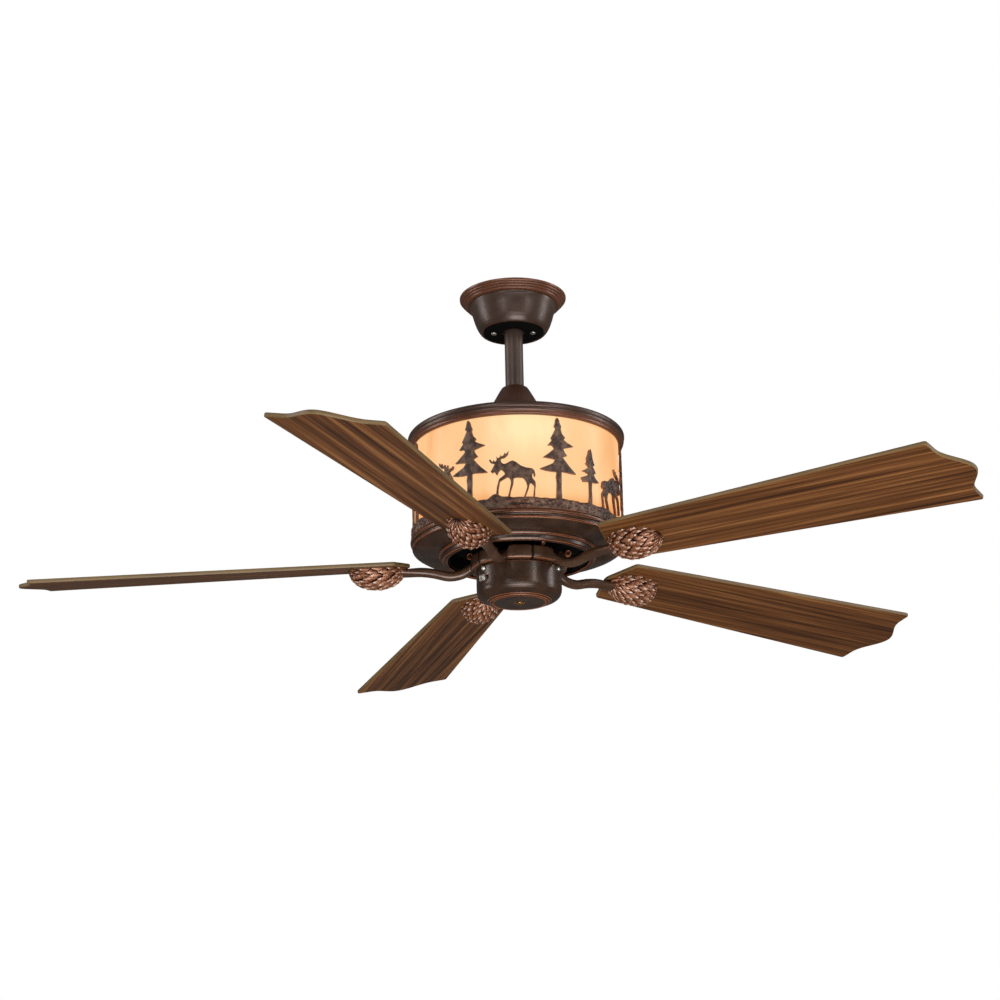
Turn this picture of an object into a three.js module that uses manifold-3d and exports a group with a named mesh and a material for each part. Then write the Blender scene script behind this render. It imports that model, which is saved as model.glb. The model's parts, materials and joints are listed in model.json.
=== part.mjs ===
// Ceiling fan with a lit drum: five blades, cast irons with pine cone covers, and a cut-out woodland scene.
// Millimetres, +Z up. The origin is the middle of the ceiling bracket's top face, on the fan's own axis.
import * as THREE from 'three';
import { TessellateModifier } from 'three/addons/modifiers/TessellateModifier.js';
import { mergeVertices } from 'three/addons/utils/BufferGeometryUtils.js';
import Module from 'manifold-3d';

const wasm = await Module();
wasm.setup();

// ---------------------------------------------------------------- driving dimensions
const CLEARANCE = 0.35;            // gap kept between two pieces that touch
const BLADE_PLANE = -402;          // height of the blades' plane at the axis, below the ceiling

const BLADE_COUNT = 5;
const BLADE_AZIMUTH = 35.16;       // first blade, degrees from +X
const BLADE_TIP_RADIUS = 711;      // a 1422 mm (56 in) fan
const BLADE_CORNER_RADIUS = 683;
const BLADE_CROWN_HALF = 56;       // half width of the crown in the middle of the tip
const BLADE_TIP_HALF = 79;
const BLADE_ROOT_RADIUS = 172.7;
const BLADE_ROOT_HALF = 52.2;
const BLADE_POINT_RADIUS = 152.7;  // the root comes to a shallow point towards the hub
const BLADE_THICKNESS = 5.5;
const BLADE_PITCH = 12;            // degrees, leading edge high
const BLADE_DROOP = 1.6;           // degrees, tip low

const BRACKET_SHEET = 2.5;         // the folded strap's thickness
const BRACKET_HALF = 43;           // half length of its top plate
const BRACKET_HALF_WIDTH = 20;
const SEAT_HALF_WIDTH = 23;
const SEAT_FLOOR = -45;            // underside of the plate that the ball sits in
const SEAT_HOLE = 20;

const ROD_RADIUS = 13.35;          // three quarter inch pipe
const ROD_WALL = 2.8;
const SHAFT_RADIUS = 8.5;
const SHAFT_BORE = 5;

const CANOPY_FLOOR = -55.5;        // underside of the canopy's dark cover
const BALL_RADIUS = 21;
const BALL_HEIGHT = -34;           // centre of the hanger ball
const BALL_HALF = 14;              // the ball is cut flat this far above and below its centre
const CANOPY_SCREW_X = 28.5;
const COVER_THICKNESS = 1.6;
const PIN_RADIUS = 3;

// Heights from here on are measured from the blades' plane.
const PIN_HEIGHT = 228;
const ROD_END = 205;
const TOP_PLATE = 181.6;
const GLASS_RADIUS = 146.5;
const GLASS_WALL = 3;
const GLASS_BOTTOM = 29;
const GLASS_TOP = 167;
const SCENE_RADIUS = 149.6;        // inner face of the cut-out figures
const SCENE_THICKNESS = 1.4;
const GROUND_TOP = 44;
const BEND_STEP = 34;               // no edge of a figure is longer than this before it is bent
const POST_CIRCLE = 122;
const POST_COUNT = 3;
const POST_AZIMUTH = 90;           // first post, halfway between two lamps
const POST_RADIUS = 4;
const ROTOR_RADIUS = 96;
const ROTOR_SPLIT = 46.5;
const HUB_RADIUS = 45.6;
const FLANGE_RADIUS = 68.5;
const FLANGE_WALL = 5;
const FLANGE_TOP = 3.2;
const FLANGE_BOTTOM = -16;
const SCOOP_RADIUS = 8.5;          // the flange's edge dips on both sides of its arm
const LAMP_COUNT = 3;
const LAMP_AZIMUTH = 30;
const LAMP_PLATE = 118;
const LAMP_HEIGHT = 140;
const MOTOR_SHEET = 2;             // lamp plate and switch plate
const CAN_RADIUS = 60.3;
const CAN_WALL = 1.8;
const CAN_TOP = -17.6;
const SWITCH_PLATE = -18.2;        // top of the plate that the can is screwed to
const HOUSING_SCREW_HEIGHT = -21.3;
const HOUSING_SCREW_AZIMUTH = -144;
const HOUSING_SCREW_COUNT = 3;
const CAP_UNDERSIDE = -64.6;
const PLUG_BORE = 3.2;
const SWITCH_HEIGHT = -35.4;
const SWITCH_AZIMUTH = -145.3;
const SWITCH_TRAVEL = 6;

const ARM_RADIUS = 6;
const CONE_CENTRE = 201;
const CONE_HALF_LENGTH = 41;
const CONE_HALF_WIDTH = 30;
const CONE_DEPTH = 31;
const CONE_WALL = 3;
const CONE_BOSS_RADIUS = 5;

// ---------------------------------------------------------------- small helpers
const rad = THREE.MathUtils.degToRad;
const turn = (degrees) => new THREE.Matrix4().makeRotationZ(rad(degrees));

function bare(geometry) {
  const copy = geometry.clone();
  copy.deleteAttribute('normal');
  copy.deleteAttribute('uv');
  const merged = mergeVertices(copy, 1e-3);
  const corners = merged.index.array;
  const kept = [];
  for (let i = 0; i < corners.length; i += 3) {
    const [a, b, c] = corners.slice(i, i + 3);
    if (a !== b && b !== c && c !== a) kept.push(a, b, c);
  }
  merged.setIndex(kept);
  return merged;
}

function solid(geometry) {
  const merged = bare(geometry);
  const vertProperties = new Float32Array(merged.attributes.position.array);
  const triVerts = new Uint32Array(merged.index.array);
  return new wasm.Manifold(new wasm.Mesh({ numProp: 3, vertProperties, triVerts }));
}

function surface(manifold) {
  const mesh = manifold.getMesh();
  const geometry = new THREE.BufferGeometry();
  geometry.setAttribute('position', new THREE.BufferAttribute(mesh.vertProperties, 3));
  geometry.setIndex(new THREE.BufferAttribute(mesh.triVerts, 1));
  return geometry;
}

const join = (first, ...rest) => surface(rest.reduce((sum, g) => sum.add(solid(g)), solid(first)));
const cut = (first, ...rest) => surface(rest.reduce((sum, g) => sum.subtract(solid(g)), solid(first)));

// A turned piece about Z. The profile is a closed loop of [radius, height] points, or runs from axis to axis.
function turned(profile, segments) {
  const closed = profile[0][0] > 0 || profile.at(-1)[0] > 0;
  const points = profile.map(([r, z]) => new THREE.Vector2(r, z));
  if (THREE.ShapeUtils.area(points) < 0) points.reverse();
  if (closed) points.push(points[0].clone());
  return new THREE.LatheGeometry(points, segments).rotateX(Math.PI / 2);
}

const ring = (inner, outer, low, high, segments) =>
  turned([[inner, low], [outer, low], [outer, high], [inner, high]], segments);

const disc = (radius, low, high, segments) =>
  turned([[0, low], [radius, low], [radius, high], [0, high]], segments);

const box = (x0, x1, y0, y1, z0, z1) =>
  new THREE.BoxGeometry(x1 - x0, y1 - y0, z1 - z0)
    .translate((x0 + x1) / 2, (y0 + y1) / 2, (z0 + z1) / 2);

// A plate of the given [x, y] outline, between two heights.
function plate(outline, low, high) {
  const shape = new THREE.Shape(outline.map(([x, y]) => new THREE.Vector2(x, y)));
  return new THREE.ExtrudeGeometry(shape, { depth: high - low, bevelEnabled: false }).translate(0, 0, low);
}

// A round bar lying along +X, then turned to its azimuth about Z.
const bar = (radius, from, to, height, azimuth, segments) =>
  new THREE.CylinderGeometry(radius, radius, to - from, segments)
    .rotateZ(-Math.PI / 2)
    .translate((from + to) / 2, 0, height)
    .rotateZ(rad(azimuth));

// ---------------------------------------------------------------- materials
const paint = (color, roughness, metalness) => new THREE.MeshStandardMaterial({ color, roughness, metalness });
const bronze = paint(0x3a2e2a, 0.38, 0.75);
const copperBronze = paint(0x6b4433, 0.42, 0.7);
const black = paint(0x0b0a0a, 0.5, 0.3);
const steel = paint(0xa8a4a0, 0.35, 0.9);
const iron = paint(0x4a4a4c, 0.5, 0.8);
const copper = paint(0xb4693a, 0.4, 0.8);
const glow = paint(0xfdd19e, 0.35, 0);
const walnut = paint(0x58381e, 0.5, 0);
const coneBrown = paint(0x8c5537, 0.55, 0.3);
const brass = paint(0xd6b06a, 0.3, 0.9);
const plastic = paint(0x1c1b1b, 0.5, 0);
const porcelain = paint(0xece6da, 0.4, 0);
const bulbGlass = paint(0xfff1d8, 0.15, 0);

const fan = new THREE.Group();
const hung = new THREE.Group();
hung.position.z = BLADE_PLANE;
fan.add(hung);

function place(parent, name, geometry, material) {
  const mesh = new THREE.Mesh(geometry, material);
  mesh.name = name;
  parent.add(mesh);
  return mesh;
}

// ---------------------------------------------------------------- ceiling bracket and canopy
// A folded strap: top plate against the ceiling, two legs, and a seat plate with a round hole for the ball.
function hangerBracket() {
  const edge = BRACKET_HALF - BRACKET_SHEET;
  const top = box(-BRACKET_HALF, BRACKET_HALF, -BRACKET_HALF_WIDTH, BRACKET_HALF_WIDTH, -BRACKET_SHEET, 0);
  const seat = box(-BRACKET_HALF, BRACKET_HALF, -SEAT_HALF_WIDTH, SEAT_HALF_WIDTH, SEAT_FLOOR, SEAT_FLOOR + BRACKET_SHEET);
  const [left, right] = [[-BRACKET_HALF, -edge], [edge, BRACKET_HALF]].map(([x0, x1]) =>
    box(x0, x1, -BRACKET_HALF_WIDTH, BRACKET_HALF_WIDTH, SEAT_FLOOR + 1, -1));
  const hole = disc(SEAT_HOLE, SEAT_FLOOR - 5, SEAT_FLOOR + 5, 24);
  const slots = [-34, 34].map((x) => box(x - 3, x + 3, -9, 9, -5, 2));
  return cut(join(top, left, right, seat), hole, ...slots);
}

function canopy() {
  return turned([
    [72, -0.6], [78, -0.6], [78, -4.4], [72, -9], [66, -13.6], [62.6, -18], [60, -25], [57.8, -33],
    [56.2, -38], [52.6, -48], [46, -55.6], [44.8, -54], [50.8, -47], [54.2, -37.5], [58, -25],
    [60.6, -17], [64.6, -11.6], [72, -6],
  ], 32);
}

function canopyCover() {
  const floor = ring(17.5, 44, CANOPY_FLOOR, CANOPY_FLOOR + COVER_THICKNESS, 28);
  const holes = [-1, 1].map((side) =>
    disc(2.8, CANOPY_FLOOR - 2, CANOPY_FLOOR + 4, 10).translate(side * CANOPY_SCREW_X, 0, 0));
  return cut(floor, ...holes);
}

const canopyScrew = () => turned([
  [0, CANOPY_FLOOR - 2.6], [2.4, CANOPY_FLOOR - 2.4], [4.2, CANOPY_FLOOR - CLEARANCE],
  [2.2, CANOPY_FLOOR - CLEARANCE], [2.2, -45.4], [0, -45.4],
], 12);

place(fan, 'hanger_bracket', hangerBracket(), steel);
place(fan, 'canopy', canopy(), bronze);
place(fan, 'canopy_cover', canopyCover(), black);
place(fan, 'canopy_screw_left', canopyScrew(), steel).position.x = -CANOPY_SCREW_X;
place(fan, 'canopy_screw_right', canopyScrew(), steel).position.x = CANOPY_SCREW_X;

// ---------------------------------------------------------------- hanger ball, downrod and coupling
const crossHole = (height) => bar(PIN_RADIUS + 0.3, -60, 60, height, 90, 12);

function hangerBall() {
  const profile = [[ROD_RADIUS + CLEARANCE, -BALL_HALF]];
  for (let step = -3; step <= 3; step += 1) {
    const z = (BALL_HALF * step) / 3;
    profile.push([Math.sqrt(BALL_RADIUS ** 2 - z ** 2), z]);
  }
  profile.push([ROD_RADIUS + CLEARANCE, BALL_HALF]);
  const ball = turned(profile, 16).translate(0, 0, BALL_HEIGHT);
  return cut(ball, crossHole(BALL_HEIGHT));
}

function downrod() {
  const bottom = ROD_END + BLADE_PLANE;
  const tube = ring(ROD_RADIUS - ROD_WALL, ROD_RADIUS, bottom, -12, 16);
  return cut(tube, crossHole(BALL_HEIGHT), crossHole(PIN_HEIGHT + BLADE_PLANE));
}

const crossPin = (half, height) => bar(PIN_RADIUS, -half, half, height, 90, 12);

function couplingYoke() {
  const body = turned([
    [SHAFT_RADIUS + CLEARANCE, TOP_PLATE + 2.4], [42, TOP_PLATE + 2.4], [42, TOP_PLATE + 6],
    [20, TOP_PLATE + 8], [20, 246], [ROD_RADIUS + CLEARANCE, 246],
    [ROD_RADIUS + CLEARANCE, ROD_END - 1], [SHAFT_RADIUS + CLEARANCE, ROD_END - 1],
  ], 20);
  return cut(body, crossHole(PIN_HEIGHT));
}

const couplingCover = () => turned([
  [14.4, 261.4], [19.8, 257.4], [23, 252], [60, TOP_PLATE + 2.5],
  [58.1, TOP_PLATE + 2.5], [20.6, 252.6], [14.4, 259.4],
], 28);

place(fan, 'hanger_ball', hangerBall(), plastic);
place(fan, 'hanger_pin', crossPin(17.4, BALL_HEIGHT), steel);
place(fan, 'downrod', downrod(), bronze);
place(hung, 'coupling_yoke', couplingYoke(), iron);
place(hung, 'coupling_pin', crossPin(24, PIN_HEIGHT), steel);
place(hung, 'coupling_cover', couplingCover(), copperBronze);

// ---------------------------------------------------------------- lit drum
const rimRing = () => turned([
  [146, 185.6], [152.6, 185.6], [155.6, 182.6], [156, 178], [154.4, 175.4], [155.2, 173.6], [152.8, 170],
  [151.6, 166.2], [147.6, 164.6], [147.6, 170], [150.8, 171], [150.8, 184], [146, 184],
], 40);

const housingPan = () => turned([
  [140.5, 28.6], [149.6, 28.6], [153, 25.6], [150, 20.4], [150.4, 16.6], [147, 13.4], [132, 9.2],
  [113, 8.6], [112, 4.6], [109, 3.8], [107.6, -2.4], [101, -2.6],
  [101, -0.8], [105.4, 0.4], [107, 10.8], [131, 11.6], [145.8, 16.4], [147.4, 26.4], [140.5, 26.4],
], 40);

// A post stands on the pan and carries the top plate.
function housingPost(azimuth) {
  return disc(POST_RADIUS, 12.2, TOP_PLATE - CLEARANCE, 10).translate(POST_CIRCLE, 0, 0).applyMatrix4(turn(azimuth));
}

place(hung, 'top_plate', ring(SHAFT_RADIUS + CLEARANCE, 150, TOP_PLATE, TOP_PLATE + 2, 40), bronze);
place(hung, 'rim_ring', rimRing(), bronze);
place(hung, 'glass_drum', ring(GLASS_RADIUS - GLASS_WALL, GLASS_RADIUS, GLASS_BOTTOM, GLASS_TOP, 40), glow);
place(hung, 'housing_pan', housingPan(), bronze);
for (let i = 0; i < POST_COUNT; i += 1) {
  place(hung, `housing_post_${i + 1}`, housingPost(POST_AZIMUTH + (360 / POST_COUNT) * i), steel);
}

// ---------------------------------------------------------------- woodland scene round the glass
// Each figure is drawn flat, in millimetres from the foot of its own centre line, and then bent round the drum.
function conifer(height, half) {
  const right = [[2.6, -8], [2.4, height * 0.22]];
  const tiers = 4;
  for (let tier = 0; tier < tiers; tier += 1) {
    const low = height * (0.24 + 0.19 * tier);
    const reach = half * (1 - 0.22 * tier);
    right.push([reach, low - height * 0.02], [reach * 0.42, low + height * 0.11]);
  }
  const left = right.map(([x, z]) => [-x, z]).reverse();
  return [[...right, [0, height], ...left]];
}

function moose() {
  const body = [
    [-31, 36], [-25, 30], [-20, 32], [-14, 32], [-11, 27], [0, 24], [18, 23], [25, 26], [31, 23],
    [33, 34], [27, 41], [12, 43], [1, 50], [-12, 46], [-20, 48], [-27, 43],
  ];
  const legs = [[-15, -4, -8], [-4, -1, -2], [20, -3, -6], [28, 1, -1]].map(([x, knee, foot]) => [
    [x, 31], [x + knee, 14], [x + foot, -5], [x + foot + 3.4, -5], [x + knee + 3.4, 14], [x + 7, 30],
  ]);
  const antlers = [
    [[-22, 45], [-28, 49], [-34, 55], [-33, 49], [-25, 42]],
    [[-20, 44], [-17, 52], [-10, 55], [-5, 64], [-5, 56], [-15, 44]],
  ];
  return [body, ...legs, ...antlers];
}

// [figure, azimuth of its centre line, 1 to face left as seen from outside or -1 to face right]
const SCENE = [
  [moose, -140, -1], [tree, -116, 1], [moose, -90, 1], [tree, -67.5, 1], [sapling, -47.5, 1], [moose, -28, -1],
  [tree, -4, 1], [moose, 20, 1], [tree, 44, 1], [sapling, 64, 1], [moose, 84, -1],
  [tree, 108, 1], [moose, 132, 1], [tree, 156, 1], [sapling, 177, 1], [tree, 198, 1],
];

function tree() {
  return conifer(117, 26);
}

function sapling() {
  return conifer(82, 13);
}

function figure(draw, azimuth, facing) {
  const loops = draw().map((loop) => loop.map(([x, z]) => [x * facing, z]));
  const [first, ...rest] = loops.map((loop) => plate(loop, 0, SCENE_THICKNESS));
  const flat = new TessellateModifier(BEND_STEP, 4).modify(join(first, ...rest));
  const at = flat.attributes.position;
  for (let i = 0; i < at.count; i += 1) {
    const angle = rad(azimuth) + at.getX(i) / SCENE_RADIUS;
    const radius = SCENE_RADIUS + at.getZ(i);
    at.setXYZ(i, radius * Math.cos(angle), radius * Math.sin(angle), at.getY(i) + GROUND_TOP - 1);
  }
  return flat;
}

function scenicBand() {
  const inner = SCENE_RADIUS - 0.4;
  const ground = turned([
    [inner, GLASS_BOTTOM], [153, GLASS_BOTTOM + 0.4], [152, 38], [151.6, GROUND_TOP], [inner, GROUND_TOP],
  ], 40);
  return join(ground, ...SCENE.map((entry) => figure(...entry)));
}

place(hung, 'scenic_band', scenicBand(), copperBronze);

// ---------------------------------------------------------------- motor: fixed shaft and stator, turning shells
const rotor = new THREE.Group();
hung.add(rotor);

// The end plate is dished in by depth round its boss: deeper below, where the irons' curls stand.
const shell = (sign, end, depth) => [
  [14.4, end], [24, end], [26, end - sign * depth], [88, end - sign * (depth + 3)], [ROTOR_RADIUS, end - sign * 19],
  [ROTOR_RADIUS, ROTOR_SPLIT + sign * CLEARANCE / 2], [92.8, ROTOR_SPLIT + sign * CLEARANCE / 2],
  [92.8, end - sign * 21], [86, end - sign * (depth + 6)], [14.4, end - sign * (depth + 3.4)],
];

function bearing(low) {
  return ring(SHAFT_RADIUS + CLEARANCE, 14, low, low + 9, 20);
}

place(hung, 'motor_shaft', ring(SHAFT_BORE, SHAFT_RADIUS, -27, ROD_END - 4, 20), steel);
place(hung, 'stator_core', ring(SHAFT_RADIUS + CLEARANCE, 60, 38, 56, 20), iron);
place(hung, 'stator_winding', turned([
  [60.4, 38], [65, 32], [76, 32], [80, 38], [80, 56], [76, 62], [65, 62], [60.4, 56],
], 20), copper);
place(rotor, 'rotor_ring', ring(85, 92.4, 32, 61, 24), iron);
place(rotor, 'rotor_upper_shell', turned(shell(1, 97, 6), 24), iron);
place(rotor, 'rotor_lower_shell', turned(shell(-1, 1.6, 20.4), 24), black);
place(rotor, 'upper_bearing', bearing(87), steel);
place(rotor, 'lower_bearing', bearing(3), steel);
place(rotor, 'rotor_hub', turned([
  [12, 1.2], [HUB_RADIUS, 1.2], [HUB_RADIUS, FLANGE_BOTTOM], [12, FLANGE_BOTTOM],
], 40), black);

// ---------------------------------------------------------------- lamps inside the drum
function lampholder(azimuth) {
  const cup = turned([
    [0, 30], [13, 30], [13, 62], [8.6, 62], [8.6, 46], [0, 46],
  ], 14).rotateY(Math.PI / 2).translate(0, 0, LAMP_HEIGHT);
  const foot = box(34, 46, -6, 6, LAMP_PLATE + MOTOR_SHEET + CLEARANCE, LAMP_HEIGHT - 8);
  return join(cup, foot).applyMatrix4(turn(azimuth));
}

function bulb(azimuth) {
  return turned([
    [0, 47], [8, 47], [8, 63], [11, 68], [17, 80], [18, 90], [14, 102], [7, 110], [0, 112],
  ], 14).rotateY(Math.PI / 2).translate(0, 0, LAMP_HEIGHT).applyMatrix4(turn(azimuth));
}

place(hung, 'lamp_plate', ring(SHAFT_RADIUS + CLEARANCE, 60, LAMP_PLATE, LAMP_PLATE + MOTOR_SHEET, 20), steel);
for (let i = 0; i < LAMP_COUNT; i += 1) {
  const azimuth = LAMP_AZIMUTH + (360 / LAMP_COUNT) * i;
  place(hung, `lampholder_${i + 1}`, lampholder(azimuth), porcelain);
  place(hung, `bulb_${i + 1}`, bulb(azimuth), bulbGlass);
}

// ---------------------------------------------------------------- switch housing under the hub
const housingScrewAzimuths = [...Array(HOUSING_SCREW_COUNT).keys()].map((i) =>
  HOUSING_SCREW_AZIMUTH + (360 / HOUSING_SCREW_COUNT) * i);

function switchPlate() {
  const skirt = CAN_RADIUS - CAN_WALL - CLEARANCE;
  const body = turned([
    [SHAFT_RADIUS + CLEARANCE, SWITCH_PLATE], [skirt, SWITCH_PLATE], [skirt, -26.2], [skirt - MOTOR_SHEET, -26.2],
    [skirt - MOTOR_SHEET, SWITCH_PLATE - MOTOR_SHEET], [SHAFT_RADIUS + CLEARANCE, SWITCH_PLATE - MOTOR_SHEET],
  ], 28);
  return cut(body, ...housingScrewAzimuths.map((a) => bar(2.3, 40, 70, HOUSING_SCREW_HEIGHT, a, 10)));
}

function switchCan() {
  const inner = CAN_RADIUS - CAN_WALL;
  const body = turned([
    [inner, CAN_TOP], [CAN_RADIUS, CAN_TOP], [CAN_RADIUS, -48], [57.6, -55.4],
    [50.6, -60], [44, -62.2], [38.4, -63.8], [38.4, -62], [46, -59.2], [55.2, -54.2], [inner, -47.4],
  ], 32);
  const screwHoles = housingScrewAzimuths.map((a) => bar(2.4, 40, 70, HOUSING_SCREW_HEIGHT, a, 10));
  const slot = box(50, 70, -5, 5 + SWITCH_TRAVEL, SWITCH_HEIGHT - 3.4, SWITCH_HEIGHT + 3.4);
  return cut(body, slot.applyMatrix4(turn(SWITCH_AZIMUTH)), ...screwHoles);
}

const housingScrew = (azimuth) => turned([
  [0, 54], [2, 54], [2, 60.9], [3.5, 60.9], [3.2, 62.6], [2, 63.6], [0, 63.8],
], 12).rotateY(Math.PI / 2).translate(0, 0, HOUSING_SCREW_HEIGHT).applyMatrix4(turn(azimuth));

// A ribbed thumb piece in the can's slot; it slides round to the other end to reverse the motor.
function switchKnob() {
  const stem = box(57.2, 63, -4, 4, -2.8, 2.8);
  const ribs = [-2.9, 0, 2.9].map((y) => box(62, 64.4, y - 0.9, y + 0.9, -2.8, 2.8));
  return join(stem, ...ribs).translate(0, 0, SWITCH_HEIGHT).applyMatrix4(turn(SWITCH_AZIMUTH));
}

place(hung, 'switch_plate', switchPlate(), steel);
place(hung, 'switch_housing', switchCan(), bronze);
// The cap's bore is countersunk, so the plug's head stays clear of the flat face around it.
place(hung, 'switch_cap', turned([
  [PLUG_BORE, CAP_UNDERSIDE + 0.5], [6.6, CAP_UNDERSIDE + 0.5], [7.2, CAP_UNDERSIDE], [37.9, CAP_UNDERSIDE],
  [37.9, CAP_UNDERSIDE + 2], [PLUG_BORE, CAP_UNDERSIDE + 2],
], 28), bronze);
place(hung, 'cap_plug', turned([
  [0, CAP_UNDERSIDE - 2.4], [3, CAP_UNDERSIDE - 2], [4.6, CAP_UNDERSIDE - 0.35],
  [2.8, CAP_UNDERSIDE - 0.35], [2.8, CAP_UNDERSIDE + 3.6], [0, CAP_UNDERSIDE + 3.6],
], 12), brass);
housingScrewAzimuths.forEach((azimuth, i) => place(hung, `housing_screw_${i + 1}`, housingScrew(azimuth), steel));
place(hung, 'reverse_switch', box(42, 56.8, -9, 12, SWITCH_HEIGHT - 6, SWITCH_HEIGHT + 6)
  .applyMatrix4(turn(SWITCH_AZIMUTH)), plastic);
place(hung, 'reverse_switch_knob', switchKnob(), steel);
place(hung, 'run_capacitor', box(18, 40, -22, 22, -56, -28).applyMatrix4(turn(35)), plastic);

// ---------------------------------------------------------------- blades, irons and pine cones
// The palm, the pine cone and the blade share a frame that is pitched and drooped with the blade.
const seat = new THREE.Matrix4().makeRotationFromEuler(
  new THREE.Euler(-rad(BLADE_PITCH), rad(BLADE_DROOP), 0, 'ZYX'));
const BLADE_UNDERSIDE = -BLADE_THICKNESS / 2;

function bladeOutline() {
  const tip = [];
  const steps = 8;
  for (let i = 0; i <= steps; i += 1) {
    const y = BLADE_CROWN_HALF * ((2 * i) / steps - 1);
    const crown = 0.5 * (1 + Math.cos((Math.PI * y) / BLADE_CROWN_HALF));
    tip.push([BLADE_CORNER_RADIUS + (BLADE_TIP_RADIUS - BLADE_CORNER_RADIUS) * crown, y]);
  }
  return [
    [BLADE_POINT_RADIUS, 0], [BLADE_ROOT_RADIUS, -BLADE_ROOT_HALF], [BLADE_CORNER_RADIUS, -BLADE_TIP_HALF],
    ...tip, [BLADE_CORNER_RADIUS, BLADE_TIP_HALF], [BLADE_ROOT_RADIUS, BLADE_ROOT_HALF],
  ];
}

const palm = (grow) => plate([
  [158, -9], [176, -22], [206, -24], [226, -13], [232, 0], [226, 13], [206, 24], [176, 22], [158, 9],
].map(([x, y]) => [x + Math.sign(x - 195) * grow, y + Math.sign(y) * grow]),
BLADE_UNDERSIDE - CLEARANCE - 4 - grow, BLADE_UNDERSIDE - CLEARANCE + grow).applyMatrix4(seat);

// The S-shaped bar leaves the hub, dips, and comes up under the blade.
function arm(grow) {
  const path = new THREE.CatmullRomCurve3([
    [60, -7.4], [66, -10.6], [74, -15.6], [84, -20.2], [100, -21.8], [120, -17], [138, -14.6], [160, -15.2],
    [178, -15.8],
  ].map(([r, z]) => new THREE.Vector3(r, 0, z)));
  const section = new THREE.Shape();
  section.absarc(0, 0, ARM_RADIUS + grow, 0, 2 * Math.PI);
  return new THREE.ExtrudeGeometry(section, {
    steps: 12, extrudePath: path, curveSegments: 4, bevelEnabled: false,
  });
}

// A fifth of a ring round the hub: an upright outer wall on a flat web, scooped out where the arm leaves it.
function flange() {
  const half = rad(180 / BLADE_COUNT - 0.4);
  const sector = (inner, outer, low, high) => {
    const shape = new THREE.Shape();
    shape.absarc(0, 0, outer, -half, half, false);
    shape.absarc(0, 0, inner, half, -half, true);
    return new THREE.ExtrudeGeometry(shape, {
      depth: high - low, curveSegments: 8, bevelEnabled: false,
    }).translate(0, 0, low);
  };
  const inner = HUB_RADIUS + CLEARANCE + 0.2;
  const wall = sector(FLANGE_RADIUS - FLANGE_WALL, FLANGE_RADIUS, FLANGE_BOTTOM, FLANGE_TOP);
  const web = sector(inner, FLANGE_RADIUS - FLANGE_WALL + 1, FLANGE_BOTTOM, FLANGE_BOTTOM + FLANGE_WALL);
  const scoop = bar(SCOOP_RADIUS, 50, 80, FLANGE_TOP, 0, 16);
  return cut(join(wall, web), scoop);
}

const bladeIron = () => join(flange(), arm(0), palm(0));

// Half an egg, cast hollow and open towards the blade, with a boss inside for its own screw.
function pineCone() {
  const top = BLADE_UNDERSIDE - CLEARANCE;
  const egg = (inset) => new THREE.SphereGeometry(1, 14, 8).rotateZ(Math.PI / 2)
    .scale(CONE_HALF_LENGTH - inset, CONE_HALF_WIDTH - inset, CONE_DEPTH - inset)
    .translate(CONE_CENTRE, 0, top);
  const boss = disc(CONE_BOSS_RADIUS, top - 2 * CONE_DEPTH, top + CONE_DEPTH, 10).translate(CONE_CENTRE, 0, 0);
  const hollow = cut(egg(CONE_WALL), boss).applyMatrix4(seat);
  const above = box(100, 300, -60, 60, top, 60).applyMatrix4(seat);
  return cut(egg(0).applyMatrix4(seat), above, hollow, palm(CLEARANCE), arm(CLEARANCE));
}

for (let i = 0; i < BLADE_COUNT; i += 1) {
  const spoke = new THREE.Group();
  spoke.rotation.z = rad(BLADE_AZIMUTH + (360 / BLADE_COUNT) * i);
  rotor.add(spoke);
  place(spoke, `blade_iron_${i + 1}`, bladeIron(), bronze);
  place(spoke, `pine_cone_${i + 1}`, pineCone(), coneBrown);
  place(spoke, `blade_${i + 1}`,
    plate(bladeOutline(), BLADE_UNDERSIDE, -BLADE_UNDERSIDE).applyMatrix4(seat), walnut);
}

export default fan;
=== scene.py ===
# Ceiling fan with a lit drum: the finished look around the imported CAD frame.
import json
import math

import bmesh
import bpy
import numpy as np
from mathutils import Matrix, Vector, noise


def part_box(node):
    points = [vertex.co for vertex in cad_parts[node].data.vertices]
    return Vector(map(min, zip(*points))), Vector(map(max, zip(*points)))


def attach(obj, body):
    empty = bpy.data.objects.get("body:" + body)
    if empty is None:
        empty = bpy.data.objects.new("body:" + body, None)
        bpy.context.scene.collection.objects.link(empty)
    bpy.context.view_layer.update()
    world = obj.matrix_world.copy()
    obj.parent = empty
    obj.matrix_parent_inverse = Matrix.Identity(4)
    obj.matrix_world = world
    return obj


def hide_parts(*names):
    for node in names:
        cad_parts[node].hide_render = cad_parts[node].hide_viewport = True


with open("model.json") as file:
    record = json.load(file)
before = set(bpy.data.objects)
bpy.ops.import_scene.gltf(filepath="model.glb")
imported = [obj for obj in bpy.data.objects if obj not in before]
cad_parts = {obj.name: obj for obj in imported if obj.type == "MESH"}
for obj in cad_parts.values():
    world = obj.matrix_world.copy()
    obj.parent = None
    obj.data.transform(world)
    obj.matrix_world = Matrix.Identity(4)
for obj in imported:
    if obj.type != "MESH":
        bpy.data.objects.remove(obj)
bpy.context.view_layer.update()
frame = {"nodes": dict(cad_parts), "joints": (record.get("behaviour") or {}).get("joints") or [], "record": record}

# ------------------------ driving dimensions, millimetres and degrees
MM = 0.001
JOINTS = {joint["name"]: joint for joint in frame["joints"]}
PLANE = JOINTS["fan_spin"]["pos_m"][2] / MM  # height of the blades' plane at the axis
BLADES = 5
BLADE_AZIMUTH = 35.16
CAMERA_DISTANCE = 3148.6  # in front of the fan's axis
CAMERA_DROP = 945.9  # below the blades' plane
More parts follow.
